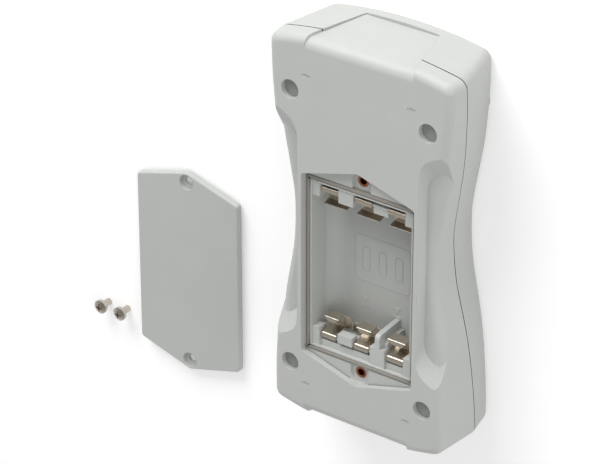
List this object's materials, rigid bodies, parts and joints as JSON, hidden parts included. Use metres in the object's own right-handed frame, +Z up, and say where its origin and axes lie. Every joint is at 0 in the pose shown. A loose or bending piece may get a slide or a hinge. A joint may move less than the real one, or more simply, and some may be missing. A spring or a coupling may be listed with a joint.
{
  "type": "electronics enclosure",
  "caption": "Handheld two-shell electronics enclosure with a waisted grip, a sealed AA battery compartment with contacts, and its screwed cover taken off beside it.",
  "frame": {"origin": "on the surface that the case lies on, at the centre of its front face, midway between the four case screws", "axes": "+Z up, out of the case's rear face; +Y along the case towards its top end; +X across it, away from the loose cover"},
  "size_m": [0.1965, 0.1918, 0.0355],
  "materials": {
    "case_plastic": "fine matt texture",
    "plug_plastic": "matt",
    "seal_rubber": "soft matt",
    "contact_nickel": "bright nickel",
    "screw_steel": "bright nickel",
    "insert_brass": "satin"
  },
  "bodies": {
    "root": {"rear_shell": "case_plastic", "front_shell": "case_plastic", "case_seal": "seal_rubber", "battery_cover": "case_plastic", "battery_seal": "seal_rubber", "contact_bottom_bridge": "contact_nickel", "contact_bottom_single": "contact_nickel", "contact_top_single": "contact_nickel", "contact_top_bridge": "contact_nickel", "screw_plug_top_left": "plug_plastic", "screw_plug_top_right": "plug_plastic", "screw_plug_bottom_left": "plug_plastic", "screw_plug_bottom_right": "plug_plastic", "case_screws": "screw_steel", "case_inserts": "insert_brass", "cover_inserts": "insert_brass", "cover_screws": "screw_steel"}
  },
  "joints": []
}
